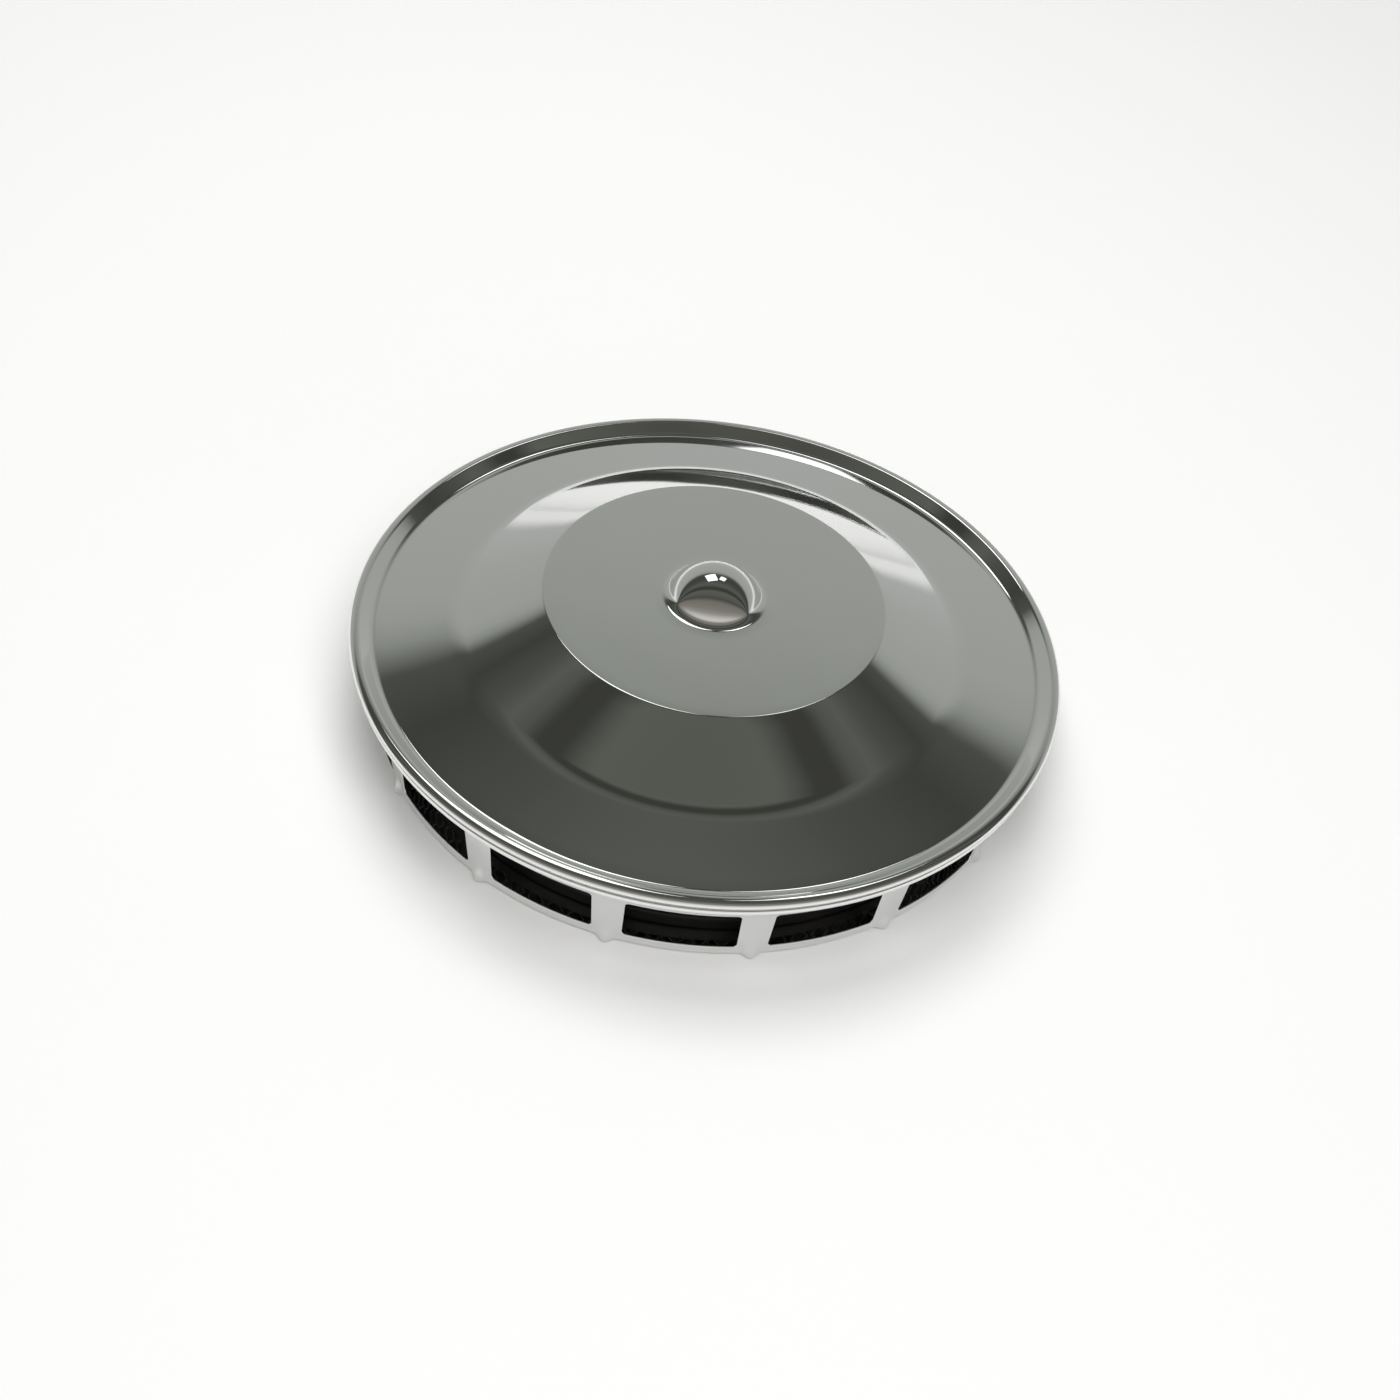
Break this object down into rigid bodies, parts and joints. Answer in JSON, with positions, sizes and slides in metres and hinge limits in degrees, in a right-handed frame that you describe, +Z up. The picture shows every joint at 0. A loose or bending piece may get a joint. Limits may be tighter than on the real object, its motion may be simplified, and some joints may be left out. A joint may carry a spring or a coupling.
{
  "type": "engine air cleaner",
  "caption": "Round engine air cleaner: a domed bright-plated steel lid on a tapering windowed base pan, with a pleated ring filter inside and a neck for the carburettor.",
  "frame": {"origin": "on the cleaner's axis, on the plane that the base's floor rests on", "axes": "+Z up along the axis, from the neck to the lid's dome; -Y points at one post of the wall"},
  "size_m": [0.3556, 0.3556, 0.0946],
  "materials": {
    "bright_plate": "polished plating",
    "zinc_steel": "zinc plated",
    "black_seal": "moulded, matt",
    "filter_paper": "pleated dark paper",
    "black_screen": "black, satin",
    "gasket_rubber": "flat sheet, matt"
  },
  "bodies": {
    "root": {"lid": "bright_plate", "base": "bright_plate", "nut_plate": "zinc_steel", "stud_nut": "zinc_steel", "filter_bottom_seal": "black_seal", "filter_top_seal": "black_seal", "filter_paper": "filter_paper", "filter_outer_screen": "black_screen", "filter_inner_screen": "black_screen", "neck_gasket": "gasket_rubber"}
  },
  "joints": []
}
